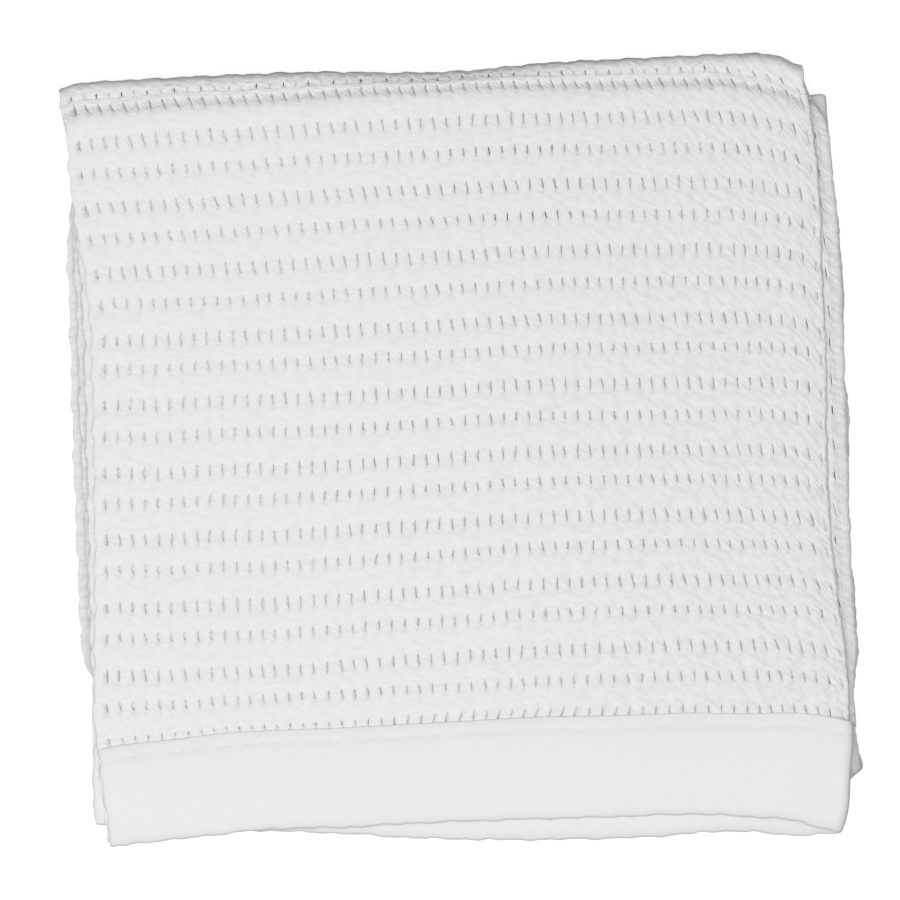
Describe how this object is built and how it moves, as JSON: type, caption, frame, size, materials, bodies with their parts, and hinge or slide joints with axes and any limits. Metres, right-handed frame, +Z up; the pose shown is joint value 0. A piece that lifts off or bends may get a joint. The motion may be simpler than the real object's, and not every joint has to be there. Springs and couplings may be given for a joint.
{
  "type": "cellular blanket",
  "caption": "Folded white cotton cellular blanket with rows of small open cells, woven selvedges and a plain sewn binding at each end.",
  "frame": {"origin": "middle of the underside of the folded blanket, on the surface that it lies on", "axes": "+Z up through the layers, +X towards the fold across the width, -Y towards the end that lies on top"},
  "size_m": [0.3638, 0.369, 0.0247],
  "materials": {
    "cellular_cloth": "soft matt open-cell cotton weave, white",
    "binding_cloth": "smooth matt plain-weave cotton, white"
  },
  "bodies": {
    "root": {"blanket_cloth": "cellular_cloth", "end_binding_front": "binding_cloth", "end_binding_back": "binding_cloth"}
  },
  "joints": []
}
